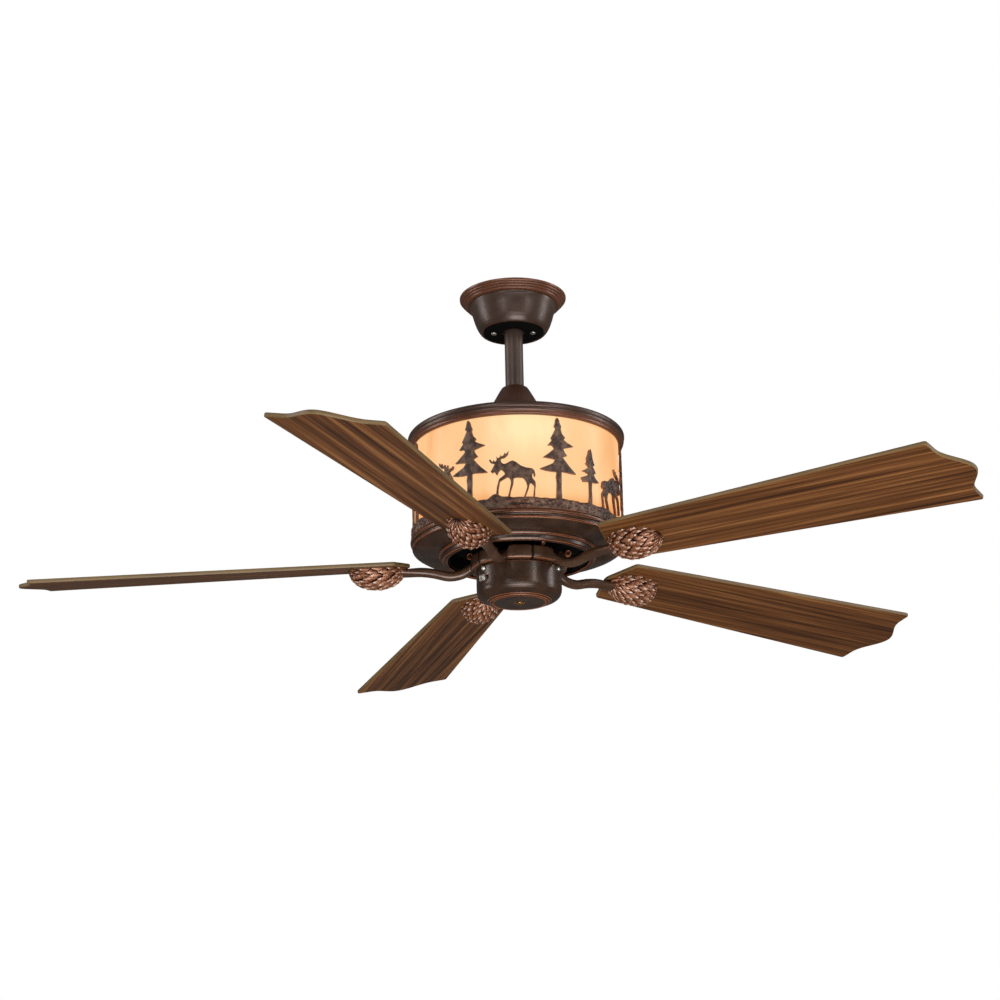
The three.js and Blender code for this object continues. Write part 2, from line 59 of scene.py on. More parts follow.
CAMERA_ANGLES = (18.213, -0.449, -1.153)  # pitch, yaw and roll in degrees
CAMERA_LENS = 83.52
CURL_AZIMUTH = -19  # from the iron's own centre line
CURL_RADIUS = 73
CURL_HEIGHT = 14.5
BLADE_PITCH = math.radians(12)
BLADE_DROOP = math.radians(1.6)
BLADE_THICKNESS = 5.5
UNDER_BLADE = -BLADE_THICKNESS / 2 - 0.35  # where the palm and the pine cone begin
ROD_RADIUS = 13.35
CANOPY_FLOOR = -55.5
SCENE_RADIUS = 149.6
SCENE_THICKNESS = 1.4
SCENE_BACK = -2.4  # the cut-out's back, from SCENE_RADIUS
GROUND_TOP = 44
GLASS_BOTTOM = 29
LAMP_AZIMUTH = -84  # the first of three lamps
LAMPS = 3
FLANGE_RADIUS = 68.5
CAN_RADIUS = 60.3
SWITCH_HEIGHT = -35.4
SWITCH_AZIMUTH = -145.3
SCREW_HEIGHT = -21.3
SCREW_AZIMUTHS = (-144, -24, 96)
CAP_UNDERSIDE = -63.2
POST_AZIMUTHS = (90, 210, 330)
LATHE_STEPS = 128


def srgb(red, green, blue):
    """A colour given as it looks on screen, 0 to 255, in linear light."""
    def linear(value):
        value = value / 255
        return value / 12.92 if value <= 0.04045 else ((value + 0.055) / 1.055) ** 2.4
    return (linear(red), linear(green), linear(blue), 1.0)


def smooth_step(low, high, value):
    t = np.clip((np.asarray(value, float) - low) / (high - low), 0, 1)
    return t * t * (3 - 2 * t)


def added(name, data):
    """A new object in the scene."""
    thing = bpy.data.objects.new(name, data)
    bpy.context.scene.collection.objects.link(thing)
    return thing


def mesh_of(name, shape):
    """A plain mesh with the bmesh's shape, which is freed."""
    mesh = bpy.data.meshes.new(name)
    shape.to_mesh(mesh)
    shape.free()
    return mesh


# ------------------------ camera and light
def make_camera():
    pitch, yaw, roll = map(math.radians, CAMERA_ANGLES)
    forward = Vector((math.sin(yaw) * math.cos(pitch), math.cos(yaw) * math.cos(pitch), math.sin(pitch)))
    right = forward.cross(Vector((0, 0, 1))).normalized()
    up = right.cross(forward)
    across = right * math.cos(roll) + up * math.sin(roll)
    upward = up * math.cos(roll) - right * math.sin(roll)
    data = bpy.data.cameras.new("camera")
    data.lens = CAMERA_LENS
    data.sensor_width = 36
    data.clip_end = 50
    camera = added("camera", data)
    rotation = Matrix((across, upward, -forward)).transposed()
    place = Matrix.Translation(Vector((0, -CAMERA_DISTANCE, PLANE - CAMERA_DROP)) * MM)
    camera.matrix_world = place @ rotation.to_4x4()
    bpy.context.scene.camera = camera


def soft_light(name, azimuth, distance, height, size, power, mirrored=True):
    """A rectangular softbox that shines at the fan: azimuth from the camera's side, then metres."""
    turn = math.radians(azimuth)
    place = Vector((distance * math.sin(turn), -distance * math.cos(turn), height))
    data = bpy.data.lights.new(name, "AREA")
    data.shape = "RECTANGLE"
    data.size, data.size_y = size
    data.energy = power
    light = added(name, data)
    direction = Vector((0, 0, PLANE * MM)) - place
    aimed = direction.to_track_quat("-Z", "Y").to_matrix()
    light.matrix_world = Matrix.Translation(place) @ aimed.to_4x4()
    light.visible_camera = False
    light.visible_glossy = mirrored


def make_studio():
    scene = bpy.context.scene
    scene.view_settings.view_transform = "Standard"
    scene.view_settings.look = "None"
    world = bpy.data.worlds.new("studio")
    scene.world = world
    world.use_nodes = True
    tree = world.node_tree
    tree.nodes.clear()
    output = tree.nodes.new("ShaderNodeOutputWorld")
    rays = tree.nodes.new("ShaderNodeLightPath")
    shade = None
    # Diffuse rays see a grey room, reflections a dim one, and the camera a white backdrop.
    for ray, strength in ((None, 0.26), ("Is Glossy Ray", 0.1), ("Is Camera Ray", 1.0)):
        background = tree.nodes.new("ShaderNodeBackground")
        background.inputs["Color"].default_value = (1, 1, 1, 1)
        background.inputs["Strength"].default_value = strength
        if ray:
            mix = tree.nodes.new("ShaderNodeMixShader")
            tree.links.new(rays.outputs[ray], mix.inputs[0])
            tree.links.new(shade, mix.inputs[1])
            tree.links.new(background.outputs[0], mix.inputs[2])
            shade = mix.outputs[0]
        else:
            shade = background.outputs[0]
    tree.links.new(shade, output.inputs["Surface"])
    soft_light("softbox_low", 4, 1.9, -2.1, (2.4, 1.3), 76)
    soft_light("softbox_left", -92, 3.2, 0.5, (0.7, 3.6), 46)
    soft_light("softbox_right", 95, 3.2, 0.5, (0.7, 3.6), 46)
    soft_light("softbox_front_left", -26, 3.7, 0.6, (0.5, 3.4), 40)
    soft_light("softbox_front_right", 42, 3.7, 0.6, (0.45, 3.4), 34)
    soft_light("softbox_back", 170, 3.4, 0.4, (2.4, 1.2), 30, mirrored=False)
    soft_light("softbox_below", 8, 1.6, -3.4, (2.4, 1.4), 6, mirrored=False)
    soft_light("softbox_above", 180, 0.4, 2.6, (2.6, 2.6), 40, mirrored=False)


# ------------------------ materials
class Look:
    """A procedural material under construction: one Principled shader and what feeds it."""

    def __init__(self, name, roughness, metallic=0.0):
        self.material = bpy.data.materials.new(name)
        self.material.use_nodes = True
        self.tree = self.material.node_tree
        self.shader = self.tree.nodes["Principled BSDF"]
        self.shader.inputs["Roughness"].default_value = roughness
        self.shader.inputs["Metallic"].default_value = metallic
        self.place = self.tree.nodes.new("ShaderNodeTexCoord").outputs["Object"]

    def feed(self, socket, value):
        """Sets a socket to a plain value, or links another node's output to it."""
        if isinstance(value, (int, float, tuple)):
            socket.default_value = value
        else:
            self.tree.links.new(value, socket)

    def node(self, kind, **inputs):
        node = self.tree.nodes.new("ShaderNode" + kind)
        for key, value in inputs.items():
            self.feed(node.inputs[key], value)
        return node

    def attribute(self, name, output="Fac"):
        node = self.node("Attribute")
        node.attribute_name = name
        return node.outputs[output]

    def stretched(self, source, scale):
        return self.node("Mapping", Scale=scale, Vector=source).outputs["Vector"]

    def noise(self, scale, detail=4, roughness=0.55, distortion=0, source=None):
        node = self.node("TexNoise", Scale=scale, Detail=detail, Roughness=roughness,
                         Distortion=distortion, Vector=source or self.place)
        return node.outputs["Fac"]

    def cells(self, scale):
        return self.node("TexVoronoi", Scale=scale, Vector=self.place).outputs["Distance"]

    def math(self, operation, first, second):
        node = self.node("Math")
        node.operation = operation
        self.feed(node.inputs[0], first)
        self.feed(node.inputs[1], second)
        return node.outputs[0]

    def span(self, value, low, high, to_low=0.0, to_high=1.0):
        node = self.node("MapRange", Value=value)
        node.interpolation_type = "SMOOTHSTEP"
        for socket, number in zip(node.inputs[1:5], (low, high, to_low, to_high)):
            socket.default_value = number
        return node.outputs["Result"]

    def mix(self, share, first, second):
        node = self.node("Mix")
        node.data_type = "RGBA"
        # A mix node's sockets 6, 7 and 2 are its two colours and its colour output.
        for number, value in ((0, share), (6, first), (7, second)):
            self.feed(node.inputs[number], value)
        return node.outputs[2]

    def ramp(self, value, stops):
        node = self.node("ValToRGB", Fac=value)
        ramp = node.color_ramp
        while len(ramp.elements) < len(stops):
            ramp.elements.new(0.5)
        for element, (at, colour) in zip(ramp.elements, stops):
            element.position = at
            element.color = srgb(*colour)
        return node.outputs["Color"]

    def colour(self, source):
        self.feed(self.shader.inputs["Base Color"], source)

    def roughness(self, source):
        self.feed(self.shader.inputs["Roughness"], source)

    def specular(self, level):
        self.feed(self.shader.inputs["Specular IOR Level"], level)

    def glow(self, source, strength):
        self.feed(self.shader.inputs["Emission Color"], source)
        self.feed(self.shader.inputs["Emission Strength"], strength)

    def bump(self, height, strength, distance):
        node = self.node("Bump", Strength=strength, Distance=distance, Height=height)
        self.feed(self.shader.inputs["Normal"], node.outputs["Normal"])


def worn_bronze(name, dark, warm, copper, gloss, mottle=34, rub=1.0, dents=0.0):
    """Dark painted bronze: warm mottling, copper rubbed through on the ridges, and painted shade that darkens the
    hollows.
    """
    look = Look(name, gloss, 0.3)
    look.specular(0.6)
    patches = look.span(look.noise(mottle, 5, 0.6), 0.38, 0.68)
    body = look.mix(patches, srgb(*dark), srgb(*warm))
    breaks = look.span(look.noise(mottle * 3.4, 4, 0.7), 0.3, 0.62, 0.7, 1.0)
    share = look.math("MULTIPLY", look.math("MULTIPLY", look.attribute("wear"), breaks), rub)
    rubbed = look.mix(share, body, srgb(*copper))
    # Painted shade: the hollow_shade mask darkens hollows and seams towards near-black.
    hollow_shade = look.math("MULTIPLY", look.attribute("hollow_shade"), 0.7)
    look.colour(look.mix(hollow_shade, rubbed, srgb(14, 9, 7)))
    look.roughness(look.span(look.noise(mottle * 5, 3), 0.3, 0.7, gloss - 0.03, gloss + 0.05))
    fine = look.noise(mottle * 16, 3)
    if dents:
        look.bump(look.math("ADD", look.math("MULTIPLY", look.cells(150), 2.0), fine), dents, 0.0006)
    else:
        look.bump(fine, 0.012, 0.0002)
    return look.material


def drum_glass_look():
    """Amber glass over three lamps: bright beside each lamp and orange away from it."""
    look = Look("drum_glass", 0.3)
    look.specular(0.12)
    glow = look.attribute("glow")
    streaks = look.noise(7, 5, 0.6, 0.6, look.stretched(look.place, (2.2, 2.2, 0.7)))
    level = look.math("ADD", glow, look.span(streaks, 0.3, 0.72, -0.07, 0.07))
    shade = look.ramp(level, [
        (0.0, (214, 124, 60)), (0.26, (238, 164, 100)), (0.50, (249, 195, 138)),
        (0.74, (251, 206, 153)), (1.0, (251, 231, 180))])
    look.glow(shade, 1.0)
    look.colour(look.mix(look.span(streaks, 0.3, 0.7), (0.05, 0.025, 0.01, 1), (0.08, 0.04, 0.015, 1)))
    return look.material


def walnut_look():
    """Satin walnut with straight grain along each blade, from the blade's own coordinates."""
    look = Look("walnut", 0.42)
    look.specular(0.2)
    grain = look.attribute("grain", "Vector")
    fine = look.noise(1.0, 5, 0.62, 0.5, look.stretched(grain, (2.6, 190, 60)))
    broad = look.noise(1.0, 3, 0.55, 1.2, look.stretched(grain, (1.5, 62, 12)))
    pores = look.noise(1.0, 3, 0.6, 0, look.stretched(grain, (16, 900, 300)))
    tone = look.math("ADD", look.math("MULTIPLY", fine, 0.55), look.math("MULTIPLY", broad, 0.45))
    body = look.ramp(tone, [
        (0.38, (46, 23, 8)), (0.46, (72, 41, 16)), (0.53, (90, 53, 24)), (0.63, (124, 82, 43))])
    look.colour(look.mix(look.span(pores, 0.55, 0.75, 0, 0.45), body, srgb(46, 25, 12)))
    look.roughness(look.span(pores, 0.3, 0.8, 0.34, 0.5))
    look.bump(pores, 0.15, 0.0002)
    return look.material


def walnut_edge_look():
    look = Look("walnut_edge", 0.5)
    grain = look.attribute("grain", "Vector")
    streak = look.noise(1.0, 4, 0.6, 0.2, look.stretched(grain, (14, 14, 300)))
    look.colour(look.ramp(streak, [(0.3, (80, 60, 32)), (0.7, (108, 84, 46))]))
    look.bump(streak, 0.1, 0.0002)
    return look.material


def cone_look():
    """Antiqued casting: painted shade in the crevices, copper flanks and painted highlights on the pale scale
    tips.
    """
    look = Look("pine_cone_bronze", 0.42, 0.35)
    height = look.attribute("relief")
    speckle = look.noise(260, 4, 0.7)
    level = look.math("ADD", height, look.span(speckle, 0.3, 0.7, -0.14, 0.14))
    # The ramp follows scale height: the near-black low stops are painted shade in the crevices, the palest top
    # stop a painted highlight on the tips.
    body = look.ramp(level, [
        (0.0, (12, 5, 3)), (0.47, (42, 20, 11)), (0.63, (108, 60, 32)), (0.79, (144, 94, 63)),
        (0.93, (200, 182, 172))])
    look.colour(body)
    look.roughness(look.span(speckle, 0.3, 0.7, 0.34, 0.52))
    look.bump(speckle, 0.25, 0.0004)
    return look.material


def plain_look(name, first, second, scale, roughness, metallic=0.0, grain=0.1, specular=0.5,
               stretch=(1, 1, 1)):
    look = Look(name, roughness, metallic)
    look.specular(specular)
    pattern = look.noise(scale, 4, 0.6, 0, look.stretched(look.place, stretch))
    look.colour(look.mix(look.span(pattern, 0.3, 0.7), srgb(*first), srgb(*second)))
    look.roughness(look.span(pattern, 0.3, 0.7, roughness - 0.06, roughness + 0.06))
    look.bump(pattern, grain, 0.0002)
    return look.material


def bulb_look():
    look = Look("bulb_glass", 0.3)
    haze = look.noise(60, 3)
    look.glow(look.mix(haze, srgb(255, 226, 170), srgb(255, 240, 205)), 1.5)
    look.colour(look.mix(haze, srgb(240, 225, 200), srgb(250, 240, 225)))
    return look.material


COPPER = (178, 100, 56)
BROWN_COPPER = (134, 74, 42)
# Each bronze: its dark and warm paint, its rubbed ridges, then roughness, mottle, rub and dents.
BRONZES = {
    "bronze": ((47, 30, 19), (60, 40, 27), COPPER, 0.28),
    "bronze_iron": ((64, 42, 29), (80, 57, 43), COPPER, 0.26),
    "bronze_smooth": ((62, 44, 34), (74, 54, 44), BROWN_COPPER, 0.34, 20, 0.8),
    "bronze_satin": ((72, 54, 45), (84, 64, 54), BROWN_COPPER, 0.46, 20, 0.8),
    "bronze_red": ((74, 46, 34), (86, 60, 48), COPPER, 0.3, 26, 0.4),
    "bronze_relief": ((54, 33, 21), (110, 83, 66), (140, 78, 46), 0.34, 80, 1.0, 1.0),
}
# Each plain look: its two colours, then scale, roughness, metallic, grain, specular and stretch.
PLAIN_LOOKS = {
    "black_paint": ((6, 5, 5), (10, 9, 8), 90, 0.75, 0.0, 0.1, 0.12),
    "zinc_steel": ((176, 170, 160), (222, 216, 206), 120, 0.32, 0.85),
    "cast_iron": ((64, 64, 66), (92, 91, 92), 160, 0.6, 0.6, 0.5),
    "copper_wire": ((150, 78, 40), (206, 120, 70), 40, 0.35, 0.9, 0.6, 0.5, (1, 1, 60)),
    "porcelain": ((222, 214, 200), (238, 232, 220), 30, 0.2),
    "brass": ((196, 146, 74), (226, 178, 98), 90, 0.22, 1.0),
    "black_plastic": ((28, 28, 28), (38, 38, 38), 200, 0.5),
}
LOOKS = {name: worn_bronze(name, *values) for name, values in BRONZES.items()}
LOOKS.update({name: plain_look(name, *values) for name, values in PLAIN_LOOKS.items()})
LOOKS.update(drum_glass=drum_glass_look(), bulb_glass=bulb_look(), pine_cone_bronze=cone_look(),
             walnut=walnut_look(), walnut_edge=walnut_edge_look())


# ------------------------ mesh helpers
def curvature(mesh):
    """Mean signed curvature at each vertex in 1/mm: positive on ridges, negative in hollows."""
    count = len(mesh.vertices)
    places = np.empty(count * 3)
    mesh.vertices.foreach_get("co", places)
    places = places.reshape(-1, 3) / MM
    normals = np.empty(count * 3)
    mesh.vertices.foreach_get("normal", normals)
    normals = normals.reshape(-1, 3)
    ends = np.empty(len(mesh.edges) * 2, int)
    mesh.edges.foreach_get("vertices", ends)
    first, second = ends.reshape(-1, 2).T
    span = places[second] - places[first]
    length = np.maximum((span ** 2).sum(1), 1e-4)
    total = np.zeros(count)
    shares = np.zeros(count)
    for at, sign in ((first, 1), (second, -1)):
        bend = -2 * sign * (span * normals[at]).sum(1) / length
        np.add.at(total, at, bend)
        np.add.at(shares, at, 1)
    return total / np.maximum(shares, 1)


def set_attribute(mesh, name, values, kind="FLOAT"):
    layer = mesh.attributes.get(name) or mesh.attributes.new(name, kind, "POINT")
    key = "value" if kind == "FLOAT" else "vector"
    layer.data.foreach_set(key, np.asarray(values, np.float32).ravel())


def mark_wear_and_shade(mesh, low=0.10, high=0.55):
    # Ridges get the wear mask for rubbed copper; hollows get the mask for painted shade.
    bend = curvature(mesh)
    set_attribute(mesh, "wear", smooth_step(low, high, bend))
    set_attribute(mesh, "hollow_shade", smooth_step(low, high, -bend))


def wear_and_places(mesh):
    wear = np.empty(len(mesh.vertices), np.float32)
    mesh.attributes["wear"].data.foreach_get("value", wear)
    return wear, np.array([v.co for v in mesh.vertices]) / MM


def brown_band(mesh, low, high, share):
    """More of the copper shows between two heights."""
    wear, places = wear_and_places(mesh)
    inside = (places[:, 2] >= low) & (places[:, 2] <= high)
    set_attribute(mesh, "wear", np.maximum(wear, share * inside))


def make_piece(name, mesh, slot, *nodes, body="hanging_frame", angle=40, look=None):
    """Puts a finished mesh, in metres, on its body in place of its CAD nodes."""
    mesh.polygons.foreach_set("use_smooth", [True] * len(mesh.polygons))
    mesh.set_sharp_from_angle(angle=math.radians(angle))
    piece = added(name, mesh)
    if not mesh.materials:
        mesh.materials.append(LOOKS[look or slot])
    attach(piece, body)
    if nodes:
        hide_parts(*nodes)
    return piece


def mesh_from(name, points, faces, matrix=None):
    """A mesh from points in millimetres."""
    mesh = bpy.data.meshes.new(name)
    places = np.asarray(points, float) * MM
    mesh.from_pydata(places.tolist(), [], [list(map(int, face)) for face in faces])
    if matrix is not None:
        mesh.transform(matrix)
    mesh.update()
    return mesh


def tidy(mesh):
    """Welds doubled points and turns every face outwards."""
    shape = bmesh.new()
    shape.from_mesh(mesh)
    bmesh.ops.remove_doubles(shape, verts=shape.verts, dist=1e-7)
    bmesh.ops.recalc_face_normals(shape, faces=shape.faces)
    shape.to_mesh(mesh)
    shape.free()
    mesh.update()
    return mesh


def arc(start, corner, end, steps):
    """Points on the small curve that takes a corner's place."""
    line = []
    for step in range(steps + 1):
        t = step / steps
        line.append(tuple(start * (1 - t) ** 2 + corner * 2 * t * (1 - t) + end * t ** 2))
    return line


def rounded(points, radius, closed=True, steps=4):
    """The corners of a flat line turned into small arcs, no larger than the sides beside them allow."""
    kept = []
    count = len(points)
    for index, corner in enumerate(points):
        if not closed and index in (0, count - 1):
            kept.append(tuple(corner))
            continue
        here = Vector(corner)
        before = Vector(points[index - 1]) - here
        after = Vector(points[(index + 1) % count]) - here
        reach = min(radius, before.length * 0.45, after.length * 0.45)
        start = here + before.normalized() * reach
        end = here + after.normalized() * reach
        kept += arc(start, here, end, steps)
    return kept


def resampled(points, spacing, closed=True):
    """The same line with no gap longer than the spacing."""
    kept = []
    count = len(points)
    for index in range(count if closed else count - 1):
        first = Vector(points[index])
        second = Vector(points[(index + 1) % count])
        pieces = max(1, math.ceil((second - first).length / spacing))
        kept += [tuple(first.lerp(second, step / pieces)) for step in range(pieces)]
    if not closed:
        kept.append(tuple(points[-1]))
    return kept


def banded(rings, count):
    """Four-sided faces between rings of points that follow one another, each ring closed on itself."""
    faces = []
    for low in range(0, (rings - 1) * count, count):
        for step in range(count):
            forward = (step + 1) % count
            faces.append((low + step, low + forward, low + count + forward, low + count + step))
    return faces


def turned(name, profile, base=0.0, radius=0.5, spacing=1.6, steps=LATHE_STEPS):
    """A piece turned about the fan's axis: its profile's points are (radius, height over base)."""
    on_axis = profile[0][0] == 0 or profile[-1][0] == 0
    line = resampled(rounded(profile, radius, not on_axis), spacing, not on_axis)
    points = []
    faces = []
    poles = {}
    rings = []
    for r, z in line:
        if r < 1e-6:
            poles[len(rings)] = len(points)
            rings.append(None)
            points.append((0, 0, z + base))
            continue
        rings.append(len(points))
        for step in range(steps):
            angle = 2 * math.pi * step / steps
            points.append((r * math.cos(angle), r * math.sin(angle), z + base))
    last = len(rings) if not on_axis else len(rings) - 1
    for index in range(last):
        following = (index + 1) % len(rings)
        low, high = rings[index], rings[following]
        for step in range(steps):
            forward = (step + 1) % steps
            if low is None:
                faces.append((poles[index], high + forward, high + step))
            elif high is None:
                faces.append((low + step, low + forward, poles[following]))
            else:
                faces.append((low + step, low + forward, high + forward, high + step))
    mesh = tidy(mesh_from(name, points, faces))
    mark_wear_and_shade(mesh)
    return mesh


def joined(name, meshes):
    shape = bmesh.new()
    for mesh in meshes:
        shape.from_mesh(mesh)
    merged = mesh_of(name, shape)
    merged.update()
    return merged


def modified(mesh, name, **settings):
    """The mesh after one modifier, as a plain mesh."""
    holder = added("holder", mesh)
    modifier = holder.modifiers.new("step", name)
    for key, value in settings.items():
        setattr(modifier, key, value)
    bpy.context.view_layer.update()
    graph = bpy.context.evaluated_depsgraph_get()
    result = bpy.data.meshes.new_from_object(holder.evaluated_get(graph))
    bpy.data.objects.remove(holder)
    return result


def carved(mesh, cutters):
    """The mesh with every cutter cut away."""
    for cutter in cutters:
        tool = added("cutter", cutter)
        mesh = modified(mesh, "BOOLEAN", object=tool, operation="DIFFERENCE", solver="EXACT")
        bpy.data.objects.remove(tool)
    return mesh


def block(width, depth, height, matrix):
    """A plain box, centred on its own origin."""
    shape = bmesh.new()
    size = Matrix.Diagonal((width * MM, depth * MM, height * MM, 1))
    bmesh.ops.create_cube(shape, size=1, matrix=size)
    mesh = mesh_of("block", shape)
    mesh.transform(matrix)
    return mesh


def shifted(x, y, z):
    return Matrix.Translation((x * MM, y * MM, z * MM))


def spun(degrees):
    return Matrix.Rotation(math.radians(degrees), 4, "Z")


def swept(path, section):
    """A closed section (across, up) swept along points in the XZ plane, with flat ends."""
    points = []
    count = len(section(0))
    for index, (x, z) in enumerate(path):
        before = path[max(index - 1, 0)]
        after = path[min(index + 1, len(path) - 1)]
        along = Vector((after[0] - before[0], after[1] - before[1])).normalized()
        for across, up in section(index / (len(path) - 1)):
            points.append((x - along.y * up, across, z + along.x * up))
    faces = [*banded(len(path), count), range(count), range(len(points) - count, len(points))]
    return tidy(mesh_from("swept", points, faces))


def ellipse(across, up, count):
    ring = [2 * math.pi * step / count for step in range(count)]
    return [(across * math.cos(a), up * math.sin(a)) for a in ring]


def flowing(points, per_span=8):
    """A smooth line through flat points (Catmull-Rom)."""
    line = []
    padded = [points[0], *points, points[-1]]
    for a, b, c, d in zip(padded, padded[1:], padded[2:], padded[3:]):
        a, b, c, d = map(Vector, (a, b, c, d))
        for step in range(per_span):
            t = step / per_span
            line.append(tuple(0.5 * (2 * b + (c - a) * t + (2 * a - 5 * b + 4 * c - d) * t ** 2
                                     + (3 * b - a - 3 * c + d) * t ** 3)))
    line.append(tuple(points[-1]))
    return line


def screw_head(radius, height, matrix):
    """A domed head with a cross recess; it stands on its own origin and faces +Z."""
    dome = [(0, -0.6), (radius, -0.6), (radius, height * 0.25), (radius * 0.82, height * 0.7),
            (radius * 0.5, height * 0.95), (0, height)]
    bars = [block(radius * 1.15, radius * 0.26, height * 1.3, spun(turn) @ shifted(0, 0, height * 1.05))
            for turn in (20, 110)]
    mesh = carved(turned("head", dome, 0, 0.3, 0.6, 32), bars)
    mark_wear_and_shade(mesh, 0.6, 1.6)
    mesh.transform(matrix)
    return mesh


# ------------------------ canopy, rod and coupling
def make_canopy():
    profile = [
        (72, -0.6), (78, -0.6), (78, -3.4), (76.8, -4.6), (76, -4.8), (75.6, -6.6), (74.2, -7.6),
        (73.2, -7.8), (72.8, -9.4), (71.4, -10.4), (70.4, -10.6), (70, -12.4), (68.6, -13.6),
        (66.4, -14.2), (64.6, -14), (63.9, -14.8), (63.6, -16.4), (62.4, -19), (61.2, -22),
        (60, -25.4), (58.8, -29.6), (57.6, -34), (56, -39), (54.2, -44), (51.8, -49), (49.4, -52.8),
        (47.6, -54.8), (46.4, -55.6), (44.8, -54.6), (50.6, -47), (54.2, -37.5), (58, -25),
        (60.6, -17), (64.6, -11.6), (72, -6)]
    shell = turned("canopy", profile, 0, 0.7, 1.2)
    brown_band(shell, -14.2, 0, 0.55)
    make_piece("canopy_shell", shell, "bronze", "canopy", body="ceiling_mount", look="bronze_smooth")
    cover = [(17.5, -55.5), (43.2, -55.5), (44, -54.9), (44, -53.9), (18.3, -53.9), (17.5, -54.5)]
    floor = turned("cover", cover, 0, 0.3)
    make_piece("canopy_floor", floor, "black_paint", "canopy_cover", body="ceiling_mount")
    for side, x in (("left", -28.5), ("right", 28.5)):
        facing_down = shifted(x, 0, CANOPY_FLOOR) @ Matrix.Rotation(math.pi, 4, "X")
        make_piece(f"canopy_screw_head_{side}", screw_head(4.2, 2.4, facing_down), "zinc_steel",
                   f"canopy_screw_{side}", body="ceiling_mount")


def make_rod():
    low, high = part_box("downrod")
    bottom, top = low.z / MM, high.z / MM
    tube = [
        (10.6, bottom), (ROD_RADIUS - 0.6, bottom), (ROD_RADIUS, bottom + 0.8),
        (ROD_RADIUS, top - 0.8), (ROD_RADIUS - 0.6, top), (10.6, top)]
    mesh = turned("rod", tube, 0, 0.3, 6, 64)
    make_piece("downrod_tube", mesh, "bronze", "downrod", look="bronze_satin")
    cone = [
        (14.4, 261.4), (19.2, 258.8), (20.6, 256.6), (23.4, 252), (59.7, 185.8), (60, 184.1),
        (58.1, 184.1), (20.6, 252.6), (14.4, 259.4)]
    make_piece("coupling_cone", turned("cone", cone, PLANE, 0.8, 3), "bronze_red", "coupling_cover")


# ------------------------ drum
def make_drum_metal():
    plate = [(ROD_RADIUS + 0.6, 181.6), (ROD_RADIUS + 0.6, 183.6), (64, 183.6), (66, 183), (128, 183),
             (130, 183.6), (145.5, 183.6), (145.5, 181.6)]
    lid = turned("top_plate", plate, PLANE, 0.4, 4)
    heads = [screw_head(5, 2.6, spun(azimuth) @ shifted(122, 0, PLANE + 183.4))
             for azimuth in POST_AZIMUTHS]
    make_piece("drum_lid", joined("drum_lid", [lid, *heads]), "bronze", "top_plate")
    ring = [
        (146, 184.2), (150.6, 184.2), (153.4, 183.2), (155.3, 181.4), (156, 179.2), (155.9, 177.2),
        (155.4, 176), (154.5, 175.2), (154.6, 174.6), (155.2, 173.8), (155.1, 172), (154.4, 170.4),
        (152.9, 169.2), (152.7, 168.2), (153, 167.2), (152.6, 165.8), (150.4, 164.8), (147.6, 164.6),
        (147.6, 170), (150.4, 171.4), (150.6, 182), (146, 182)]
    rim = turned("rim", ring, PLANE, 0.9, 1.0)
    brown_band(rim, PLANE + 164, PLANE + 171, 0.6)
    make_piece("drum_rim", rim, "bronze", "rim_ring", look="bronze_smooth")
    pan = [
        (140.5, 28.6), (149.8, 28.6), (152.4, 27.6), (153.2, 25.4), (152.4, 23), (150.3, 21.6),
        (149.7, 19.8), (150.8, 18.2), (150.4, 16), (147.8, 14.2), (138, 10.6), (126, 8.9), (116, 9),
        (112.8, 8.8), (113.2, 6.8), (112, 4.9), (109.5, 4.3), (108.9, 0.2), (107.5, -2.2), (103.6, -3),
        (101, -2.6), (101, -0.8), (105.4, 0.4), (107, 10.8), (131, 11.6), (145.8, 16.4), (147.4, 26.4),
        (140.5, 26.4)]
    make_piece("housing_bowl", turned("pan", pan, PLANE, 0.6, 1.0), "bronze", "housing_pan")
    # A black sleeve inside the pan: painted shade in the gap between the pan's mouth and the turning hub.
    shade_sleeve = [(98.4, 1), (104, 1), (104, 3), (100.4, 3), (100.4, 104), (98.4, 104)]
    make_piece("painted_shade_sleeve", turned("shade_sleeve", shade_sleeve, PLANE, 0.6, 4), "black_paint")


def make_glass():
    inner, outer, top = 143.6, 146.5, 167
    profile = [(inner, GLASS_BOTTOM), (outer, GLASS_BOTTOM), (outer, top), (inner, top)]
    mesh = turned("glass", profile, PLANE, 0.8, 4, 144)
    # The glass's emission is painted lamp light: brightest beside each lamp near the top, dimmer between the lamps
    # and towards the bottom.
    places = np.array([v.co for v in mesh.vertices]) / MM
    azimuth = np.degrees(np.arctan2(places[:, 1], places[:, 0]))
    height = places[:, 2] - PLANE
    pitch = 360 / LAMPS
    away = np.abs((azimuth - LAMP_AZIMUTH + pitch / 2) % pitch - pitch / 2)
    beside = np.exp(-(away / 20) ** 2)
    beside = beside * np.exp(-((height - 148) / 34) ** 2)
    level = 0.5 + 0.16 * np.exp(-(away / 46) ** 2) + 0.36 * beside
    level -= 0.34 * smooth_step(70, 36, height) + 0.10 * smooth_step(40, 62, away)
    set_attribute(mesh, "glow", level)
    make_piece("lit_glass", mesh, "drum_glass", "glass_drum")


